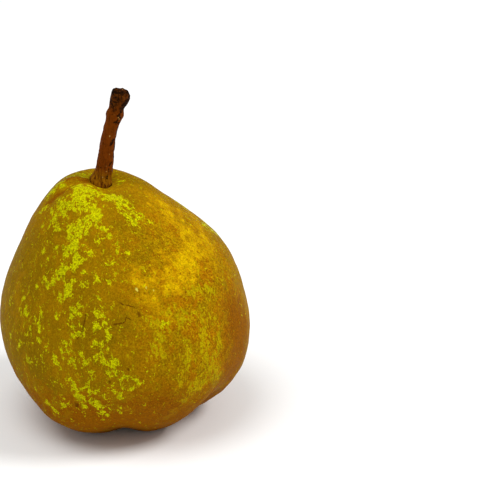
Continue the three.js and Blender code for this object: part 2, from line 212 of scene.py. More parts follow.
# Small green islands among them, as a bearing, a distance down and a reach.
GREEN_ISLANDS = [
    (206, 0.0447, 0.0008), (218, 0.0412, 0.0007), (222, 0.044, 0.0008), (224, 0.0447, 0.0007),
    (232, 0.0449, 0.0009), (233, 0.047, 0.0009), (234, 0.0431, 0.0007), (228, 0.0487, 0.0009),
    (212, 0.052, 0.0007), (220, 0.0529, 0.0009), (226, 0.0562, 0.0008), (233, 0.0496, 0.0006),
    (243, 0.0424, 0.0007), (238, 0.0513, 0.0007), (242, 0.0529, 0.0007), (244, 0.055, 0.0007),
    (240, 0.0592, 0.0009), (233, 0.0672, 0.0008), (236, 0.0693, 0.0008), (241, 0.0672, 0.0008),
    (231, 0.0298, 0.0007), (224, 0.0286, 0.0006), (252, 0.0447, 0.0009), (227, 0.0375, 0.0007),
    (268, 0.0218, 0.0006), (280, 0.025, 0.0005), (287, 0.0257, 0.0005), (277, 0.0304, 0.0006),
    (263, 0.0255, 0.0006), (258, 0.0304, 0.0006), (266, 0.0318, 0.0006), (272, 0.0325, 0.0005),
    (258, 0.0337, 0.0006), (236, 0.0262, 0.0007), (244, 0.0295, 0.0007), (212, 0.0222, 0.0007),
    (222, 0.0206, 0.0007), (231, 0.0208, 0.0007), (266, 0.0363, 0.0007), (233, 0.0346, 0.0008),
    (244, 0.0374, 0.0008),
]
# The unseen back has streaks drawn at random between these bearings and distances down.
# Each has a random length, a turn in degrees and a reach.
BACK_STREAKS = {"number": 34, "from": 365, "to": 560, "high": 0.01, "low": 0.07}
STREAK_SIZES = {"length": 0.004, "least": 0.0009, "most": 0.0019, "turn": 4}
# The sides of streaks are ragged. Where streaks cross, their sum stops at the limit.
RAGGED = {"scale": 450, "size": 0.55}
GREEN_LIMIT = 1.33
# The grain of the skin runs from the stalk to the calyx. Its pattern is drawn out along
# the side by this factor, and narrows towards both ends, down to this width.
FLOW = {"core": 0.012, "drawn_out": 1.25}
# Wide streaks in which flecks of green are scattered, far thinner than in the green ones.
FLECKED = [
    (222, 0.035, 225, 0.056, 0.0065), (262, 0.036, 264, 0.064, 0.009),
    (262, 0.016, 285, 0.026, 0.006), (208, 0.014, 222, 0.022, 0.004),
    (240, 0.019, 238, 0.025, 0.0035), (20, 0.03, 60, 0.05, 0.012),
    (110, 0.025, 160, 0.045, 0.012),
]
FLECKED_SHARE = 0.15
# The side that hung in the sun: its middle, its width in degrees and where it starts.
SUNNY = {"bearing": 322, "width": 40, "high": 0.008, "low": 0.024}
# The most golden places, golden russet with a painted highlight on it, with their limit, and
# soft yellow-green veils, all as streaks.
GOLDEN_AND_HIGHLIGHT = [
    (338, 0.0185, 342, 0.025, 0.0028), (334, 0.0276, 322, 0.0307, 0.0034),
    (322, 0.0298, 312, 0.03, 0.0036), (306, 0.0321, 298, 0.0325, 0.0018),
    (314, 0.0342, 304, 0.035, 0.002), (294, 0.033, 287, 0.0325, 0.0015),
    (292, 0.0365, 290, 0.0372, 0.002), (294, 0.0407, 296, 0.042, 0.0018),
    (8, 0.0245, 344, 0.031, 0.0028), (288, 0.0295, 286, 0.0325, 0.001),
    (346, 0.014, 358, 0.0205, 0.0022),
]
GOLDEN_AND_HIGHLIGHT_LIMIT = 1.5
VEILS = [
    (326, 0.0391, 312, 0.0374, 0.0014), (314, 0.044, 311, 0.0515, 0.0018),
    (322, 0.046, 319, 0.053, 0.001), (303, 0.05, 300, 0.056, 0.0013),
    (309, 0.053, 314, 0.061, 0.0017), (302, 0.0415, 301, 0.0455, 0.0014),
    (292, 0.0465, 288, 0.05, 0.0015), (286, 0.049, 288, 0.0515, 0.0011),
    (298, 0.0412, 307, 0.0435, 0.0014), (287, 0.0426, 292, 0.044, 0.0014),
    (296, 0.0575, 297, 0.0605, 0.0013), (309, 0.0605, 297, 0.066, 0.002),
    (299, 0.067, 289, 0.074, 0.0019), (316, 0.055, 320, 0.064, 0.0013),
    (30, 0.035, 50, 0.045, 0.003), (75, 0.045, 95, 0.06, 0.003),
]
# Darker, more olive russet, also as streaks.
OLIVE = [
    (260, 0.036, 272, 0.049, 0.007), (296, 0.017, 302, 0.0245, 0.0045),
    (225, 0.056, 235, 0.06, 0.005), (227, 0.04, 228, 0.048, 0.0055),
]
# Browner russet: round the base but not in the basin, by distance down from the stalk, and
# in streaks beside the stalk, on the sunny side and over the front lobes. Round the base and
# over the front lobes it is browner russet and painted shade; low on the sunny side, painted shade.
BROWN_AND_SHADE_BASE = {"from": 0.05, "full": 0.084, "fades": 0.086, "ends": 0.097}
BROWN_AND_SHADE_BANDS = [
    (198, 0.0035, 184, 0.009, 0.0011), (216, 0.0088, 198, 0.017, 0.0011),
    (338, 0.05, 334, 0.064, 0.008), (254, 0.0745, 284, 0.0715, 0.0115),
]
# Thin healed scratches from one place to another, and their width.
SCRATCHES = [
    (259, 0.041, 258, 0.0431, 0.0003), (258, 0.0431, 256, 0.0459, 0.00028),
    (256, 0.0459, 254, 0.0473, 0.00032), (276, 0.0377, 281, 0.0386, 0.00026),
    (281, 0.0386, 284, 0.0393, 0.0002), (271, 0.0428, 276, 0.0426, 0.0003),
    (276, 0.0426, 278, 0.0412, 0.00018), (278, 0.0412, 280, 0.0421, 0.0002),
    (80, 0.035, 92, 0.039, 0.00022), (130, 0.048, 133, 0.053, 0.0002),
]
# Rubbed spots: bearing, distance down and reach, first the dark ones, then the pale ones. The
# three pale ones on the front are painted glints; the one at bearing 60 is a pale rubbed spot.
DARK_SPOTS = [
    (249, 0.0658, 0.0006), (284, 0.0405, 0.00045), (275, 0.0541, 0.0004), (266, 0.0576, 0.0004),
    (243, 0.033, 0.0004), (205, 0.034, 0.0004), (35, 0.05, 0.0006), (118, 0.04, 0.0005),
]
PALE_SPOTS_AND_GLINTS = [
    (286, 0.0344, 0.00038), (291, 0.0342, 0.00028), (294, 0.0351, 0.00024), (60, 0.042, 0.0003),
]
# Scratches and spots waver by this much. Their edges are at these shares of their width.
WOBBLE = {"scale": 500, "size": 0.0011}
MARK_EDGE = {"full": 0.3, "gone": 1.2}

# Colours, as linear red, green and blue.
GREEN_BRIGHT = (0.5, 0.49, 0.001, 1)
GREEN_DEEP = (0.36, 0.335, 0.001, 1)
GREEN_PORE = (0.2, 0.155, 0.001, 1)
OLIVE_DARK = (0.205, 0.113, 0.001, 1)
RUSSET_OLIVE = (0.236, 0.126, 0.001, 1)
RUSSET = (0.28, 0.14, 0.001, 1)
# Golden russet with a painted highlight in it, then the painted highlight's bright middle.
RUSSET_GOLD_AND_HIGHLIGHT = (0.43, 0.225, 0.001, 1)
GOLD_PAINTED_HIGHLIGHT = (0.545, 0.335, 0.001, 1)
RUSSET_AMBER = (0.3, 0.115, 0.001, 1)
VEIL = (0.4, 0.32, 0.001, 1)
VEIN = (0.53, 0.36, 0.001, 1)
# Brown russet, also painted shade towards the bottom and low on the sunny side.
RUSSET_BROWN_AND_SHADE = (0.228, 0.077, 0.001, 1)
RUSSET_PORE = (0.19, 0.07, 0.001, 1)
SCAR = (0.085, 0.024, 0.001, 1)
# Pale, for the rubbed spot and for the painted glints.
PALE_SCAR_AND_GLINT = (0.6, 0.56, 0.08, 1)
GLOSS_TINT = (1.0, 0.8, 0.02, 1)
BARK_BROWN = (0.138, 0.0285, 0.0008, 1)
BARK_DARK = (0.07, 0.014, 0.0008, 1)
BARK_END = (0.085, 0.021, 0.0012, 1)
BARK_BLACK_AND_SHADE = (0.006, 0.0022, 0.0008, 1)
BARK_FOOT = (0.25, 0.095, 0.0015, 1)
# Pale, for the dots and for the painted glints on the crumbly end.
BARK_PALE_AND_GLINT = (0.4, 0.21, 0.05, 1)
BARK_GLOSS_TINT = (1.0, 0.65, 0.35, 1)
DRY_BROWN = (0.115, 0.045, 0.01, 1)
DRY_DARK = (0.012, 0.006, 0.003, 1)
DRY_PALE = (0.42, 0.27, 0.13, 1)
FLOOR_WHITE = (0.93, 0.93, 0.925, 1)

# Patterns of the skin: features to a metre, octaves, roughness and twist. The fibres are
# drawn out along the grain.
CLOUDS = {"scale": 95, "detail": 3, "rough": 0.5}
PATCHES = {"scale": 230, "detail": 3, "rough": 0.6, "twist": 0.5}
MOTTLE = {"scale": 420, "detail": 4, "rough": 0.6}
ISLANDS = {"scale": 760, "detail": 2, "rough": 0.5, "twist": 0.4}
VEINS = {"scale": 600, "detail": 4, "rough": 0.6, "twist": 0.4}
LACE = {"scale": 2500, "detail": 4, "rough": 0.7, "twist": 0.3}
FIBRES = {"scale": (1300, 1300, 650), "detail": 4, "rough": 0.65, "twist": 0.3}
GRAIN = {"scale": 2400, "detail": 3, "rough": 0.7}
PORES = 480
SPECKS = 1050
# What each pattern adds to the wear of the russet, and how much wear shows the green.
WORN = {
    "green": 0.28, "islands": 1.05, "lace": 1.15, "sunny": -0.04,
    "threshold": 1.332, "edge": 0.022,
}
# How much a veil lifts the fibres, so that more of them show yellow-green.
VEILED = 0.16
# How each pattern of the skin is used: its values from the first number to the second are
# spread over 0 to 1, or over the last two numbers.
SKIN_USE = {
    "warm": (0.4, 0.6),
    "warm mottle": (0.4, 0.6, -0.04, 0.04),
    "amber": (0.44, 0.58, 0, 0.95),
    "amber streaks": (0.52, 0.62, 0, 0.5),
    "olive": (0.38, 0.62, 1, 0.6),
    "gold and highlight mottle": (0.38, 0.62, -0.35, 0.35),
    "gold_and_highlight": (-0.05, 1.3),
    "bright painted highlight": (0.95, 1.75),
    "vein": (0, 0.03, 0.55, 0),
    "veil": (0.58, 0.68, 0, 0.7),
    "brown mottle": (0.4, 0.6, -0.2, 0.2),
    "brown": (0.1, 0.9),
    "bright green": (0.42, 0.58),
    "pore": (0.15, 0.24, 0.85, 0),
    "chosen pores": (0.45, 0.5),
    "speck": (0.15, 0.42, 1, 0),
    "chosen specks": (0.2, 0.9, 0, 0.8),
    "sunny specks": (0, 0.7, 0.3, 1),
    "coarse grain": (0.4, 0.6, 0.75, 1.25),
    "fine grain": (0.4, 0.6, 0.86, 1.14),
    "roughness": (0, 1, 0.52, 0.42),
    "grain's roughness": (0.4, 0.6, -0.08, 0.08),
}
# How strongly the rubbed spots and scratches, and the painted glints among the pale spots, cover the
# skin.
SCARS_AND_GLINTS_SHOW = {"dark": 0.75, "pale": 0.8}

# Patterns of the bark, the same way. The fibres run along it and the pits across it.
BARK_FIBRES = {"scale": (1700, 1700, 240), "detail": 5, "rough": 0.65}
BARK_BLOTCHES = {"scale": 480, "detail": 4, "rough": 0.6}
BARK_GRAIN = {"scale": 3500, "detail": 3, "rough": 0.6}
BARK_PITS = {"scale": (900, 900, 1500), "detail": 6, "rough": 0.7, "twist": 0.6}
BARK_CRUMBS = {"scale": 1500, "detail": 5, "rough": 0.75}
BARK_DOTS = 900
# The foot, the painted shade in the crease where the foot meets the skin, and the end are
# places along the stalk, in metres.
BARK_USE = {
    "fibres": (0.28, 0.52),
    "foot fibres": (0.36, 0.56),
    "foot": (0.0065, 0.01, 1, 0),
    "end": (0.0225, 0.0275),
    "end blotches": (0.4, 0.6, -0.3, 0.3),
    "whole end": (0.2, 0.9),
    "crumbs": (0.42, 0.6),
    "painted glints on crumbs": (0.64, 0.7, 0, 0.6),
    "charred end": (0.0265, 0.0295, -0.2, 0.06),
    "charred": (0.5, 0.56),
    "ragged": (0.4, 0.6, -0.35, 0.35),
    "crack": (0.45, 0.65),
    "pit": (0.62, 0.68),
    "painted crease shade": (0.0034, 0.0044, 1, 0),
    "dot": (0.12, 0.22, 1, 0),
    "chosen dots": (0.55, 0.6),
    "roughness": (0.3, 0.7, 0.5, 0.75),
}
# How strongly these cover the bark.
BARK_SHOWS = {"end": 0.95, "charred": 0.8, "cracks_and_crease_shade": 0.9, "dots": 0.8}

# Patterns of the dried calyx.
CALYX_BLOTCHES = {"scale": 700, "detail": 5, "rough": 0.65}
CALYX_ASH = {"scale": (1000, 1000, 700), "detail": 4, "rough": 0.6}
CALYX_USE = {
    "blotches": (0.35, 0.65),
    "ash": (0.48, 0.74, 0, 0.6),
    "roughness": (0.3, 0.7, 0.45, 0.8),
}

# Height of the fine relief in metres, and how deep or high marks stand in it.
RELIEF = {"skin": 0.00008, "grain": 0.00004, "bark": 0.00025, "bark grain": 0.00006, "calyx": 0.0002}
MARKS_RELIEF = {"specks": 0.2, "cracks_and_crease_shade": 0.6, "dots": 0.4}
# How much each surface mirrors.
SHINE = {"skin": 0.006, "bark": 0.03, "calyx": 0.12, "floor": 0.1}

# Floor: half its width, and how matt it is.
FLOOR_HALF = 3.0
FLOOR_ROUGHNESS = 0.95
# Light: a bright room, a large panel overhead and a key to the right. Each is a disk at a
# place, with its width and its power in watts, and points at the middle of the pear.
LIT_MIDDLE = Vector((0, 0, 0.03))
ROOM_BRIGHTNESS = 0.47
PANEL = {"place": (-0.45, -0.42, 1.5), "width": 1.2, "power": 13}
KEY = {"place": (1.1, -0.15, 1.2), "width": 0.6, "power": 15}

# Camera, as the photograph was taken: a long lens, a little above the pear. The sensor's
# width and the lens are in millimetres.
CAMERA_TARGET = Vector((0.03166, 0.00126, 0.04373))
CAMERA_DISTANCE = 0.52
CAMERA_ELEVATION = math.radians(22)
SENSOR = 36
LENS = 148.6
CLIP_START = 0.01


def smooth(low, high, x):
    """0 below low, 1 above high, and smooth between them."""
    t = np.clip((x - low) / (high - low), 0, 1)
    return t * t * (3 - 2 * t)


def bell(x, middle, reach):
    """1 at the middle, and 1/e a reach away from it."""
    return np.exp(-(((x - middle) / reach) ** 2))


def bell_round(bearing, middle, width):
    """The same bell round a circle, in degrees."""
    return bell((bearing - middle + 180) % 360 - 180, 0, width)


def run_along(line):
    """Distance along a line of points, for each point."""
    return np.concatenate([[0], np.cumsum(np.linalg.norm(np.diff(line, axis=0), axis=1))])


def spline(points, steps):
    """steps + 1 points, evenly spaced along a smooth curve through the points given."""
    p = np.array(points, float)
    p = np.vstack([p[:1], p, p[-1:]])
    fine = np.linspace(0, len(points) - 1, CURVE_FINER * steps + 1)
    k = np.minimum(fine.astype(int), len(points) - 2)
    t = (fine - k)[:, None]
    start, end = p[k + 1], p[k + 2]
    leave, arrive = (end - p[k]) / 2, (p[k + 3] - start) / 2
    curve = (
        start
        + leave * t
        + (3 * (end - start) - 2 * leave - arrive) * t**2
        + (2 * (start - end) + leave + arrive) * t**3
    )
    run = run_along(curve)
    even = np.linspace(0, run[-1], steps + 1)
    return np.stack([np.interp(even, run, axis) for axis in curve.T], -1)


def points_at(x, y, z):
    """Points from their coordinates, which may be rows, columns or single numbers."""
    return np.stack(np.broadcast_arrays(x, y, z), -1)


def skin_points(radius, height, bearing):
    """Points of the skin, from their place on the profile and their bearings."""
    a = np.radians(bearing)
    oval = -BELLY["oval"] * bell(height, BELLY["height"], BELLY["reach"]) * np.cos(2 * a)
    fuller = SHOULDER["fuller"] * bell(height, SHOULDER["height"], SHOULDER["reach"]) * np.cos(a)
    reached = radius * (1 + oval + fuller)
    for at, out, width in SWELLINGS:
        reached = reached + (
            out
            * bell_round(bearing, at, width)
            * bell(height, SWELLING["height"], SWELLING["reach"])
            * smooth(SWELLING["low"], SWELLING["high"], radius)
        )
    uneven = smooth(0, FURROW_FULL_RADIUS, radius) * smooth(*WAVES_FADE, height)
    for waves, up, size, start in WAVES:
        reached = reached + size * uneven * np.sin(waves * a + up * height + np.radians(start))
    bend = smooth(NECK["low"], NECK["high"], height)
    x = reached * np.cos(a) + LEAN[0] * height + NECK["x"] * bend
    y = reached * np.sin(a) + LEAN[1] * height + NECK["y"] * bend
    z = height + NECK["dip"] * bend * reached * np.cos(a)
    sunken = np.radians(SLUMP["bearing"])
    side = reached * np.cos(a) - SLUMP["radius"] * np.cos(sunken)
    deep = reached * np.sin(a) - SLUMP["radius"] * np.sin(sunken)
    crown = -SLUMP["depth"] * bell(np.hypot(side, deep), 0, SLUMP["reach"])
    for at, up, width in FOLDS:
        fold = bell_round(bearing, at, width) * bell(radius, FOLD["radius"], FOLD["reach"])
        crown = crown + up * fold
    z = z + np.where(height > BELLY["height"], crown, 0)
    points = points_at(x, y, z)
    pulled = 0
    for at, depth, width, reach in FURROWS:
        pulled = pulled + depth * bell_round(bearing, at, width) * bell(height, 0, reach)
    pulled = (pulled * smooth(0, FURROW_FULL_RADIUS, radius))[..., None]
    heart = np.array([*LEAN, 1]) * BELLY["height"]
    return points + (heart - points) * pulled


def lumps(points, scale, octaves=3):
    """Smooth noise from about -1 to 1 at each point."""
    flat = points.reshape(-1, 3) * scale
    values = [
        noise.fractal(Vector(p), OCTAVE["smoother"], OCTAVE["finer"], octaves) for p in flat
    ]
    return np.array(values).reshape(points.shape[:-1])


def mesh_piece(name, points, faces):
    mesh = bpy.data.meshes.new(name)
    mesh.from_pydata(points.tolist(), [], faces)
    mesh.shade_smooth()
    piece = bpy.data.objects.new(name, mesh)
    bpy.context.scene.collection.objects.link(piece)
    return piece


def ring_faces(rings, sides):
    """Faces of a closed shape: a start point, rings of points and an end point."""
    faces = []
    end = rings * sides + 1
    for i in range(sides):
        j = (i + 1) % sides
        faces.append((0, 1 + j, 1 + i))
        faces.append((end, end - sides + i, end - sides + j))
    for r in range(rings - 1):
        low = 1 + r * sides
        for i in range(sides):
            j = (i + 1) % sides
            faces.append((low + i, low + j, low + sides + j, low + sides + i))
    return faces


def corners_of(rows):
    """One row of points from rows of rings, the first and last of which are one point each."""
    return np.vstack([rows[0, :1], rows[1:-1].reshape(-1, 3), rows[-1, :1]])


def corner_values(values, rows):
    """One number for each of the same corners, from numbers for the rings or the sides."""
    values = np.broadcast_to(values, rows.shape[:2])
    return np.concatenate([values[0, :1], values[1:-1].ravel(), values[-1, :1]])


def closed_shape(rows):
    """Points and faces of a closed shape from rows that run up it, each counterclockwise."""
    return corners_of(rows), ring_faces(len(rows) - 2, rows.shape[1])


def joined(shapes):
    """One list of points and one of faces from several of each."""
    points, faces, count = [], [], 0
    for more_points, more_faces in shapes:
        points.append(more_points)
        faces += [tuple(count + i for i in face) for face in more_faces]
        count += len(more_points)
    return np.vstack(points), faces


def outward_from(points, middle):
    away = points - middle
    return away / np.maximum(np.linalg.norm(away, axis=-1, keepdims=True), 1e-9)


def place_on_skin(bearing, down):
    """The point of the skin at a bearing and a distance down from the stalk."""
    profile = spline(PROFILE, SKIN_RINGS)
    distance = run_along(profile)
    radius, height = (np.interp(distance[-1] - down, distance, axis) for axis in profile.T)
    return skin_points(radius, height, bearing)


def flow_places(profile, bearing):
    """Where in the grain's pattern each point of the skin is."""
    width = np.hypot(profile[:, :1], FLOW["core"])
    along = run_along(profile)[:, None] / FLOW["drawn_out"]
    a = np.radians(bearing)
    return points_at(width * np.cos(a), width * np.sin(a), along)


def distance_to_line(points, a, b):
    """How far each point is from the straight line between two others."""
    along = np.clip((points - a) @ (b - a) / ((b - a) @ (b - a)), 0, 1)[..., None]
    return np.linalg.norm(points - a - along * (b - a), axis=-1)


def keep(piece, name, values):
    """Stores a number or a place for each corner of a piece, for its material to read."""
    kind, field = ("FLOAT", "value") if np.ndim(values) == 1 else ("FLOAT_VECTOR", "vector")
    layer = piece.data.attributes.new(name, kind, "POINT")
    layer.data.foreach_set(field, np.asarray(values, np.float32).ravel())


def streak_field(points, streaks, place=place_on_skin, ragged=1.0):
    """1 along the middle of each streak, falling off to its sides, and summed where they cross."""
    field = np.zeros(len(points))
    for *start, end, end_too, reach in streaks:
        apart = distance_to_line(points, place(*start), place(end, end_too))
        field += bell(apart * ragged, 0, reach)
    return field


def random_streaks():
    """Green streaks for the back, each running roughly down the side."""
    random = np.random.default_rng(SEED)
    streaks = []
    for _ in range(BACK_STREAKS["number"]):
        bearing = random.uniform(BACK_STREAKS["from"], BACK_STREAKS["to"])
        down = random.uniform(BACK_STREAKS["high"], BACK_STREAKS["low"])
        turn = random.normal(0, STREAK_SIZES["turn"])
        length = random.exponential(STREAK_SIZES["length"])
        reach = random.uniform(STREAK_SIZES["least"], STREAK_SIZES["most"])
        streaks.append((bearing, down, bearing + turn, down + length, reach))
    return streaks


def make_skin(shift):
    profile = spline(PROFILE, SKIN_RINGS)
    bearing = np.arange(SKIN_SIDES)[None] * 360 / SKIN_SIDES
    rows = skin_points(profile[:, :1], profile[:, 1:], bearing)
    size = DIMPLES["size"] * smooth(DIMPLES["from"], DIMPLES["full"], profile[:, :1])
    heart = np.array([*LEAN, 1]) * BELLY["height"]
    inward = (lumps(rows, DIMPLES["scale"]) - 1) * size
    rows = rows + inward[..., None] * outward_from(rows, heart)
    socket = 1 - smooth(SOCKET["full"], SOCKET["edge"], profile[:, :1])
    rows[..., 2] += np.where(profile[:, 1:] < BELLY["height"], SOCKET["depth"] * socket, 0)
    unshifted, faces = closed_shape(rows)
    points = unshifted + shift
    points[:, 2] = np.maximum(points[:, 2], 0)
    skin = mesh_piece("fruit_skin", points, faces)

    keep(skin, "flow", corners_of(flow_places(profile, bearing)))
    ragged = 1 + RAGGED["size"] * lumps(unshifted, RAGGED["scale"])
    streaks = GREEN_STREAKS + spots(GREEN_ISLANDS) + random_streaks()
    green = streak_field(unshifted, streaks, ragged=ragged)
    green += FLECKED_SHARE * np.minimum(streak_field(unshifted, FLECKED), 1)
    keep(skin, "green", np.minimum(green, GREEN_LIMIT))
    golden_and_highlight = streak_field(unshifted, GOLDEN_AND_HIGHLIGHT, ragged=ragged)
    keep(skin, "golden_and_highlight", np.minimum(golden_and_highlight, GOLDEN_AND_HIGHLIGHT_LIMIT))
    keep(skin, "olive", np.minimum(streak_field(unshifted, OLIVE), 1))
    keep(skin, "veil", np.minimum(streak_field(unshifted, VEILS, ragged=ragged), 1))

    distance = run_along(profile)
    down = (distance[-1] - distance)[:, None]
    sunny = bell_round(bearing, SUNNY["bearing"], SUNNY["width"])
    sunny = sunny * smooth(SUNNY["high"], SUNNY["low"], down)
    keep(skin, "sunny", corner_values(sunny, rows))
    # Browner towards the bottom: browner russet and painted shade.
    base = smooth(BROWN_AND_SHADE_BASE["from"], BROWN_AND_SHADE_BASE["full"], down)
    base = base * (1 - smooth(BROWN_AND_SHADE_BASE["fades"], BROWN_AND_SHADE_BASE["ends"], down))
    brown = np.maximum(corner_values(base, rows), streak_field(unshifted, BROWN_AND_SHADE_BANDS))
    keep(skin, "brown", brown)
    return skin


def stalk_frames():
    """Points along the stalk's middle line, and the two directions across it at each."""
    line = spline(STALK_LINE, STALK_RINGS)
    along = np.gradient(line, axis=0)
    turns = [Vector((0, 0, 1)).rotation_difference(Vector(d)) for d in along]
    across = np.array([turn @ Vector((1, 0, 0)) for turn in turns])
    deep = np.array([turn @ Vector((0, 1, 0)) for turn in turns])
    return line, across, deep


def place_on_stalk(along, bearing):
    """The point of the bark at a distance along the stalk and a bearing."""
    radii = spline(STALK_RADII, STALK_RINGS)
    radius = radii[np.abs(radii[:, 1] - along).argmin(), 0]
    step = round(along / STALK_LENGTH * STALK_RINGS)
    line, across, deep = (part[step] for part in stalk_frames())
    a = math.radians(bearing)
    return line + radius * (across * math.cos(a) + deep * math.sin(a))


def make_stalk(foot, shift):
    radii = spline(STALK_RADII, STALK_RINGS)
    radius, along = np.maximum(radii[:, :1], 0), radii[:, 1:]
    bearing = np.arange(STALK_SIDES)[None] * 360 / STALK_SIDES
    a = np.radians(bearing)
    for at, side, out, reach, width in KNOBS:
        size = np.minimum(radius / STALK_FADE, 1) * out
        radius = radius + size * bell(along, at, reach) * bell_round(bearing, side, width)
    line, across, deep = stalk_frames()
    share = np.clip(along[:, 0] / STALK_LENGTH, 0, 1) * STALK_RINGS
    steps = np.arange(STALK_RINGS + 1)
    middle, across, deep = (
        np.stack([np.interp(share, steps, axis) for axis in part.T], -1)[:, None]
        for part in (line, across, deep)
    )
    sides = across * np.cos(a)[..., None] + deep * np.sin(a)[..., None]
    rows = middle + radius[..., None] * sides

    drawn = points_at(np.cos(a), np.sin(a), BARK_SCALES["ridges_along"] * along)
    ridges = BARK_SIZES["ridges"] * lumps(drawn, BARK_SCALES["ridges"])
    swell = BARK_SIZES["lumps"] * lumps(rows, BARK_SCALES["lumps"])
    crumbs = BARK_SIZES["crumbs"] * lumps(rows, BARK_SCALES["crumbs"], octaves=4)
    crumbs = crumbs * smooth(*CRUMBS_FROM, along)
    fade = np.minimum(radius / STALK_FADE, 1)
    rows = rows + ((ridges + swell + crumbs) * fade)[..., None] * sides
    rows[..., 2] += (crumbs - BARK_SIZES["sunken"]) * smooth(*CUT_FROM, along)
    points, faces = closed_shape(rows)
    stalk = mesh_piece("stalk_bark", points + foot + shift, faces)
    keep(stalk, "along", corner_values(along, rows))
    keep(stalk, "crack", streak_field(points, CRACKS, place_on_stalk))
    return stalk


def sepal_shape(number):
    """One dried sepal: pointed, cupped along its middle, curled in and crumpled."""
    spread, curl, twist = SEPAL_POSES[number]
    turn = math.radians(SEPAL_FOOT["bearing"] + number * 360 / len(SEPAL_POSES))
    outward = np.array([math.cos(turn), math.sin(turn), 0])
    sideways = np.array([-math.sin(turn), math.cos(turn), 0])
    up = np.array([0, 0, 1])
    across, along = SEPAL_GRID
    v = np.linspace(0, 1, along + 1)
    run = v * (SEPAL["length"] + SEPAL["sunk"]) - SEPAL["sunk"]
    slope = np.radians(spread - curl * np.maximum(run, 0) / SEPAL["length"])
    step = np.diff(run, prepend=run[0])
    out = np.cumsum(np.sin(slope) * step) + run[0] * math.sin(slope[0])
    down = np.cumsum(np.cos(slope) * step) + run[0] * math.cos(slope[0])
    half = (SEPAL["width"] + (SEPAL["tip"] - SEPAL["width"]) * v ** SEPAL["taper"]) / 2
    round_the_edge = np.linspace(0, 2 * math.pi, 2 * across, endpoint=False)[None]
    u = np.cos(round_the_edge)
    face = np.sin(round_the_edge) * SEPAL["thick"] / 2
    rolled = np.radians(twist) * v[:, None]
    wide = u * half[:, None]
    waves = RIPPLE["along"] * v[:, None] + RIPPLE["across"] * u + number
    ripple = RIPPLE["size"] * np.sin(waves) * np.abs(u) ** RIPPLE["edge"]
    face = face * (1 - SEPAL["thinner"] * v[:, None]) - SEPAL["cupped"] * half[:, None] * u**2
    face = face + ripple + np.sin(rolled) * wide
    rows = (
        (SEPAL_FOOT["radius"] + out[:, None] + np.cos(slope)[:, None] * face)[..., None] * outward
        + (np.cos(rolled) * wide)[..., None] * sideways
        + (SEPAL_FOOT["height"] - down[:, None] + np.sin(slope)[:, None] * face)[..., None] * up
    )
    uneven = SEPAL_UNEVEN["size"] * lumps(rows, SEPAL_UNEVEN["scale"])
    rows = rows + uneven[..., None] * outward
    ends = [np.broadcast_to(row.mean(0), row.shape)[None] for row in (rows[0], rows[-1])]
    return closed_shape(np.concatenate([ends[0], rows, ends[1]]))


def cup_shape():
    profile = spline(CUP_PROFILE, CUP_RINGS)
    a = np.arange(CUP_SIDES)[None] * 2 * math.pi / CUP_SIDES
    radius = np.maximum(profile[:, :1], 0)
    rows = points_at(radius * np.cos(a), radius * np.sin(a), profile[:, 1:])
    uneven = CUP_UNEVEN["size"] * lumps(rows, CUP_UNEVEN["scale"])
    rows = rows + (uneven * smooth(0, CUP_UNEVEN["full"], radius))[..., None]
    return closed_shape(rows)


def stamen_shape(random, number):
    """A dry thread from the bottom of the cup with a small dark head."""
    bearing = 2 * math.pi * (number + STAMEN["shifted"] * random.random()) / STAMENS
    ring = STAMEN["ring"] * (STAMEN["inner"] if number % 3 == 0 else 1)
    lean = math.radians(STAMEN["least_lean"] + STAMEN["lean_varies"] * random.random())
    length = STAMEN["length"] * (STAMEN["shortest"] + STAMEN["varies"] * random.random())
    t = np.linspace(0, 1, STAMEN_RINGS)[:, None]
    thread = STAMEN_THREAD["radius"] * (STAMEN_THREAD["thick"] - STAMEN_THREAD["thinner"] * t)
    head = STAMEN_HEAD["radius"] * bell(t, STAMEN_HEAD["at"], STAMEN_HEAD["reach"])
    radius = thread + head
    radius[0] = radius[-1] = 0
    a = np.arange(STAMEN_SIDES)[None] * 2 * math.pi / STAMEN_SIDES
    x = ring + t * length * math.sin(lean) + radius * np.cos(a)
    y = radius * np.sin(a)
    z = STAMEN["foot"] - t * length * math.cos(lean)
    turned_x = x * math.cos(bearing) - y * math.sin(bearing)
    turned_y = x * math.sin(bearing) + y * math.cos(bearing)
    return closed_shape(points_at(turned_x, turned_y, z)[::-1])


def make_calyx(foot, shift):
    random = np.random.default_rng(SEED)
    shapes = [cup_shape()]
    shapes += [sepal_shape(number) for number in range(len(SEPAL_POSES))]
    shapes += [stamen_shape(random, number) for number in range(STAMENS)]
    points, faces = joined(shapes)
    return mesh_piece("calyx_dried", points + foot + shift, faces)


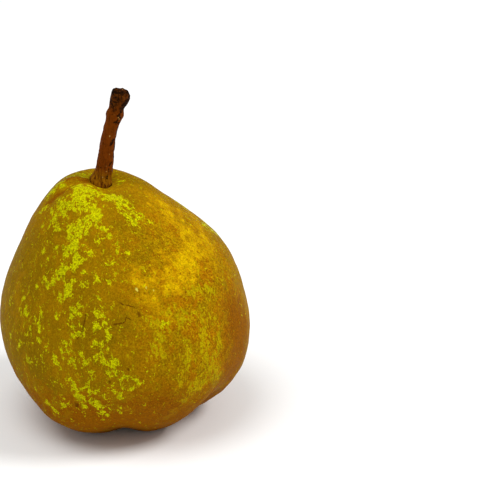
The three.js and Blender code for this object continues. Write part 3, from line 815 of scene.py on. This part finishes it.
class Paint:
    """A material built node by node: its colour so far, and how it uses its patterns."""

    def __init__(self, name, ground, uses=None):
        self.colour = ground
        self.uses = uses
        self.material = bpy.data.materials.new(name)
        self.material.use_nodes = True
        self.nodes = self.material.node_tree.nodes
        self.shader = self.nodes["Principled BSDF"]
        self.place = self.add("ShaderNodeTexCoord").outputs["Object"]

    def add(self, kind, sockets=None, **settings):
        """A node with its settings, its inputs set to numbers or linked to outputs."""
        node = self.nodes.new(kind)
        for name, value in settings.items():
            setattr(node, name, value)
        self.put(node, sockets or {})
        return node

    def put(self, node, sockets):
        for key, value in sockets.items():
            if isinstance(value, bpy.types.NodeSocket):
                self.material.node_tree.links.new(value, node.inputs[key])
            else:
                node.inputs[key].default_value = value

    def noise(self, scale, detail, rough, twist=0.0, place=None):
        """Smooth noise. A scale of three numbers is for a place drawn out along an axis."""
        place = place or self.place
        if isinstance(scale, tuple):
            place, scale = self.vector("MULTIPLY", place, scale), 1
        sockets = {"Vector": place, "Scale": scale, "Detail": detail}
        sockets |= {"Roughness": rough, "Distortion": twist}
        return self.add("ShaderNodeTexNoise", sockets).outputs["Fac"]

    def cells(self, scale):
        """Distance to the nearest of many scattered points, and a random number for each."""
        found = self.add("ShaderNodeTexVoronoi", {"Vector": self.place, "Scale": scale})
        drawn = self.add("ShaderNodeSeparateColor", {0: found.outputs["Color"]}).outputs[0]
        return found.outputs["Distance"], drawn

    def combine(self, kind, a, b, clamp=False):
        node = self.add("ShaderNodeMath", {0: a, 1: b}, operation=kind, use_clamp=clamp)
        return node.outputs[0]

    def plus(self, a, b):
        return self.combine("ADD", a, b)

    def minus(self, a, b):
        return self.combine("SUBTRACT", a, b)

    def times(self, a, b):
        return self.combine("MULTIPLY", a, b)

    def larger(self, a, b):
        return self.combine("MAXIMUM", a, b)

    def absolute(self, a):
        return self.add("ShaderNodeMath", {0: a}, operation="ABSOLUTE").outputs[0]

    def spread(self, value, low, high, to_low=0.0, to_high=1.0):
        """The value, from low to high smoothly made into to_low to to_high."""
        sockets = {"Value": value, "From Min": low, "From Max": high}
        sockets |= {"To Min": to_low, "To Max": to_high}
        return self.add("ShaderNodeMapRange", sockets, interpolation_type="SMOOTHSTEP").outputs[0]

    def use(self, value, name):
        """The value, spread as the material's table of uses says."""
        return self.spread(value, *self.uses[name])

    def mix(self, share, a, b, kind="MIX"):
        node = self.add("ShaderNodeMix", {}, data_type="RGBA", blend_type=kind)
        self.put(node, {0: share, 6: a, 7: b})
        return node.outputs[2]

    def cover(self, share, colour):
        """Lays a colour over the one so far, as much as the share says."""
        self.colour = self.mix(share, self.colour, colour)

    def shade(self, factor):
        """Makes the colour darker or lighter by a factor."""
        grey = self.add("ShaderNodeCombineColor", {0: factor, 1: factor, 2: factor}).outputs[0]
        self.colour = self.mix(1.0, self.colour, grey, "MULTIPLY")

    def stored(self, name, output="Fac"):
        return self.add("ShaderNodeAttribute", attribute_name=name).outputs[output]

    def vector(self, kind, a, b, output="Vector"):
        key = "Scale" if kind == "SCALE" else 1
        return self.add("ShaderNodeVectorMath", {0: a, key: b}, operation=kind).outputs[output]

    def wobbled(self, scale, size):
        """The place on the surface, moved about by up to half the size."""
        moved = self.add("ShaderNodeTexNoise", {"Vector": self.place, "Scale": scale}).outputs["Color"]
        moved = self.vector("SUBTRACT", moved, (0.5, 0.5, 0.5))
        return self.vector("ADD", self.place, self.vector("SCALE", moved, size))

    def apart(self, place, start, end):
        """How far the place is from the straight line between two others."""
        line = end - start
        away = self.vector("SUBTRACT", place, start)
        share = self.vector("DOT_PRODUCT", away, line / line.dot(line), "Value")
        share = self.combine("MULTIPLY", share, 1.0, clamp=True)
        nearest = self.vector("SCALE", line, share)
        return self.vector("DISTANCE", away, nearest, "Value")

    def bump(self, height, distance, under=None):
        sockets = {"Height": height, "Distance": distance, "Strength": 1.0}
        if under is not None:
            sockets["Normal"] = under
        return self.add("ShaderNodeBump", sockets).outputs[0]

    def finish(self, roughness, shine, normal=None, tint=(1, 1, 1, 1)):
        sockets = {"Base Color": self.colour, "Roughness": roughness}
        sockets |= {"Specular IOR Level": shine, "Specular Tint": tint}
        if normal is not None:
            sockets["Normal"] = normal
        self.put(self.shader, sockets)
        return self.material


def paint_russet(paint, flow):
    """Olive to warm brown in clouds, golden with a painted highlight and veined to the sun, and brown
    round the base and low on the sunny side, partly painted shade.
    """
    sunny = paint.stored("sunny")
    clouds = paint.noise(**CLOUDS)
    mottle = paint.noise(**MOTTLE, place=flow)
    warm = paint.plus(clouds, paint.use(mottle, "warm mottle"))
    paint.cover(paint.use(warm, "warm"), RUSSET)

    patches = paint.noise(**PATCHES, place=flow)
    paint.cover(paint.times(paint.use(patches, "amber"), sunny), RUSSET_AMBER)
    paint.cover(paint.times(paint.stored("olive"), paint.use(warm, "olive")), OLIVE_DARK)
    # Golden russet and painted highlight, brightest in the middle of the highlight.
    gold_and_highlight = paint.plus(paint.stored("golden_and_highlight"), paint.use(mottle, "gold and highlight mottle"))
    paint.cover(paint.use(gold_and_highlight, "gold_and_highlight"), RUSSET_GOLD_AND_HIGHLIGHT)
    # Painted highlight: the brightest gold, in the middle of the golden places.
    paint.cover(paint.use(gold_and_highlight, "bright painted highlight"), GOLD_PAINTED_HIGHLIGHT)
    paint.cover(paint.times(paint.use(patches, "amber streaks"), sunny), RUSSET_AMBER)

    # Veins run where the ripples of a noise cross their middle value.
    off_line = paint.absolute(paint.minus(paint.noise(**VEINS, place=flow), 0.5))
    paint.cover(paint.times(paint.use(off_line, "vein"), sunny), VEIN)
    fibres = paint.noise(**FIBRES, place=flow)
    veiled = paint.plus(paint.times(paint.stored("veil"), VEILED), fibres)
    paint.cover(paint.use(veiled, "veil"), VEIL)
    # Brown russet, and painted shade round the base and low on the sunny side.
    brown_and_shade = paint.plus(paint.stored("brown"), paint.use(mottle, "brown mottle"))
    paint.cover(paint.use(brown_and_shade, "brown"), RUSSET_BROWN_AND_SHADE)


def marks(paint, lines, shift):
    """1 on the thin lines of the skin, given as places and a width, and 0 beside them."""
    place = paint.wobbled(WOBBLE["scale"], WOBBLE["size"])
    shown = 0.0
    for bearing, down, bearing_end, down_end, width in lines:
        start = Vector(place_on_skin(bearing, down) + shift)
        end = Vector(place_on_skin(bearing_end, down_end) + shift)
        full, gone = MARK_EDGE["full"] * width, MARK_EDGE["gone"] * width
        near = paint.spread(paint.apart(place, start, end), full, gone, 1, 0)
        shown = paint.larger(near, shown)
    return shown


def spots(places):
    """Short lines that show as spots."""
    return [(bearing, down, bearing, down + reach, reach) for bearing, down, reach in places]


def worn_through(paint, islands, lace, sunny):
    """1 where streaks, islands and lace add up to enough wear to show the green, else 0."""
    worn = paint.times(paint.stored("green"), WORN["green"])
    worn = paint.plus(worn, paint.times(islands, WORN["islands"]))
    worn = paint.plus(worn, paint.times(sunny, WORN["sunny"]))
    worn = paint.plus(worn, paint.times(lace, WORN["lace"]))
    return paint.spread(worn, WORN["threshold"], WORN["threshold"] + WORN["edge"])


def skin_material(shift):
    paint = Paint("pear_skin", RUSSET_OLIVE, SKIN_USE)
    flow = paint.stored("flow", "Vector")
    sunny = paint.stored("sunny")
    islands = paint.noise(**ISLANDS, place=flow)
    lace = paint.noise(**LACE, place=flow)
    grain = paint.noise(**GRAIN)
    paint_russet(paint, flow)
    green_shows = worn_through(paint, islands, lace, sunny)
    green = paint.mix(paint.use(grain, "bright green"), GREEN_DEEP, GREEN_BRIGHT)
    paint.cover(green_shows, green)

    # Pores: round and dull on the green, fine and reddish on the russet.
    pores, drawn = paint.cells(PORES)
    dull = paint.times(paint.use(pores, "pore"), paint.use(drawn, "chosen pores"))
    paint.cover(paint.times(dull, green_shows), GREEN_PORE)
    specks, drawn = paint.cells(SPECKS)
    red = paint.times(paint.use(specks, "speck"), paint.use(drawn, "chosen specks"))
    red = paint.times(red, paint.use(sunny, "sunny specks"))
    paint.cover(red, RUSSET_PORE)

    dark = marks(paint, SCRATCHES + spots(DARK_SPOTS), shift)
    paint.cover(paint.times(dark, SCARS_AND_GLINTS_SHOW["dark"]), SCAR)
    # Pale rubbed spot and painted glints.
    pale = marks(paint, spots(PALE_SPOTS_AND_GLINTS), shift)
    paint.cover(paint.times(pale, SCARS_AND_GLINTS_SHOW["pale"]), PALE_SCAR_AND_GLINT)
    coarse = paint.times(paint.use(grain, "coarse grain"), sunny)
    fine = paint.times(paint.use(grain, "fine grain"), paint.minus(1.0, sunny))
    paint.shade(paint.plus(coarse, fine))

    rough = paint.plus(paint.use(green_shows, "roughness"), paint.use(grain, "grain's roughness"))
    relief = paint.minus(islands, paint.times(red, MARKS_RELIEF["specks"]))
    normal = paint.bump(relief, RELIEF["skin"], paint.bump(grain, RELIEF["grain"]))
    return paint.finish(rough, SHINE["skin"], normal, GLOSS_TINT)


def bark_material():
    """Fibrous red-brown bark, paler at the foot, with a dark, crumbly end with painted glints on it,
    cracks, dots, and painted shade in the crease where the foot meets the skin.
    """
    paint = Paint("stalk_bark", BARK_DARK, BARK_USE)
    along = paint.stored("along")
    fibres = paint.noise(**BARK_FIBRES)
    blotches = paint.noise(**BARK_BLOTCHES)
    grain = paint.noise(**BARK_GRAIN)
    pits = paint.noise(**BARK_PITS)
    crumbs = paint.noise(**BARK_CRUMBS)

    paint.cover(paint.use(fibres, "fibres"), BARK_BROWN)
    foot = paint.mix(paint.use(fibres, "foot fibres"), BARK_DARK, BARK_FOOT)
    paint.cover(paint.use(along, "foot"), foot)

    end = paint.plus(paint.use(along, "end"), paint.use(blotches, "end blotches"))
    end = paint.times(paint.use(end, "whole end"), BARK_SHOWS["end"])
    end_colour = paint.mix(paint.use(crumbs, "crumbs"), BARK_BLACK_AND_SHADE, BARK_END)
    # Painted glints: pale flecks on the crumbs of the end.
    end_colour = paint.mix(paint.use(crumbs, "painted glints on crumbs"), end_colour, BARK_PALE_AND_GLINT)
    paint.cover(end, end_colour)
    charred = paint.plus(blotches, paint.use(along, "charred end"))
    paint.cover(paint.times(paint.use(charred, "charred"), BARK_SHOWS["charred"]), BARK_BLACK_AND_SHADE)

    ragged = paint.plus(paint.stored("crack"), paint.use(pits, "ragged"))
    cracks_and_crease_shade = paint.larger(paint.use(ragged, "crack"), paint.use(pits, "pit"))
    # Painted shade: black in the crease where the foot goes into the skin.
    cracks_and_crease_shade = paint.larger(cracks_and_crease_shade, paint.use(along, "painted crease shade"))
    paint.cover(paint.times(cracks_and_crease_shade, BARK_SHOWS["cracks_and_crease_shade"]), BARK_BLACK_AND_SHADE)
    apart, drawn = paint.cells(BARK_DOTS)
    dots = paint.times(paint.use(apart, "dot"), paint.use(drawn, "chosen dots"))
    paint.cover(paint.times(dots, BARK_SHOWS["dots"]), BARK_PALE_AND_GLINT)

    height = paint.minus(fibres, paint.times(cracks_and_crease_shade, MARKS_RELIEF["cracks_and_crease_shade"]))
    height = paint.plus(height, paint.times(dots, MARKS_RELIEF["dots"]))
    normal = paint.bump(height, RELIEF["bark"], paint.bump(grain, RELIEF["bark grain"]))
    return paint.finish(paint.use(blotches, "roughness"), SHINE["bark"], normal, BARK_GLOSS_TINT)


def calyx_material():
    """Dark brown with ashy marks."""
    paint = Paint("dry_calyx", DRY_DARK, CALYX_USE)
    blotches = paint.noise(**CALYX_BLOTCHES)
    ash = paint.noise(**CALYX_ASH)
    paint.cover(paint.use(blotches, "blotches"), DRY_BROWN)
    paint.cover(paint.use(ash, "ash"), DRY_PALE)
    normal = paint.bump(paint.plus(ash, blotches), RELIEF["calyx"])
    return paint.finish(paint.use(blotches, "roughness"), SHINE["calyx"], normal)


def floor_material():
    return Paint("floor_card", FLOOR_WHITE).finish(FLOOR_ROUGHNESS, SHINE["floor"])


def dress(piece, node, material):
    """The piece is painted, stands for a CAD node and belongs to a material slot."""
    piece.data.materials.append(material)
    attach(piece, "root")
    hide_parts(node)


def add_floor():
    square = FLOOR_HALF * np.array([(-1, -1, 0), (1, -1, 0), (1, 1, 0), (-1, 1, 0)])
    floor = mesh_piece("floor", square, [(0, 1, 2, 3)])
    floor.data.materials.append(floor_material())


def aim(thing, place, direction):
    """Puts a light or the camera at a place and turns it to a direction."""
    thing.location = place
    thing.rotation_mode = "QUATERNION"
    thing.rotation_quaternion = direction.to_track_quat("-Z", "Y")
    bpy.context.scene.collection.objects.link(thing)


def add_light(name, lamp):
    light = bpy.data.objects.new(name, bpy.data.lights.new(name, "AREA"))
    light.data.shape = "DISK"
    light.data.size = lamp["width"]
    light.data.energy = lamp["power"]
    aim(light, lamp["place"], LIT_MIDDLE - Vector(lamp["place"]))


def light_scene():
    scene = bpy.context.scene
    scene.view_settings.view_transform = "Standard"
    world = bpy.data.worlds.new("studio")
    world.use_nodes = True
    background = world.node_tree.nodes["Background"]
    background.inputs["Color"].default_value = (1, 1, 1, 1)
    background.inputs["Strength"].default_value = ROOM_BRIGHTNESS
    scene.world = world
    add_light("panel", PANEL)
    add_light("key", KEY)


def add_camera():
    camera = bpy.data.objects.new("camera", bpy.data.cameras.new("camera"))
    camera.data.sensor_width = SENSOR
    camera.data.lens = LENS
    camera.data.clip_start = CLIP_START
    back = Vector((0, -math.cos(CAMERA_ELEVATION), math.sin(CAMERA_ELEVATION)))
    aim(camera, CAMERA_TARGET + CAMERA_DISTANCE * back, -back)
    bpy.context.scene.camera = camera


def main():
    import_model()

    # The CAD pear was moved so that the middle of its box is over the origin.
    low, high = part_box("fruit")
    profile = spline(PROFILE, SKIN_RINGS)
    rows = skin_points(profile[:, :1], profile[:, 1:], np.arange(360)[None])
    rows_low, rows_high = rows.min((0, 1)), rows.max((0, 1))
    shift = (np.array(low + high) - rows_low - rows_high) / 2
    shift[2] = -PRESSED
    stalk_foot = skin_points(0, PROFILE[-1][1], 0)
    calyx_foot = skin_points(0, PROFILE[0][1], 0)

    dress(make_skin(shift), "fruit", skin_material(shift))
    dress(make_stalk(stalk_foot, shift), "stalk", bark_material())
    dress(make_calyx(calyx_foot, shift), "calyx", calyx_material())

    add_floor()
    light_scene()
    add_camera()


main()
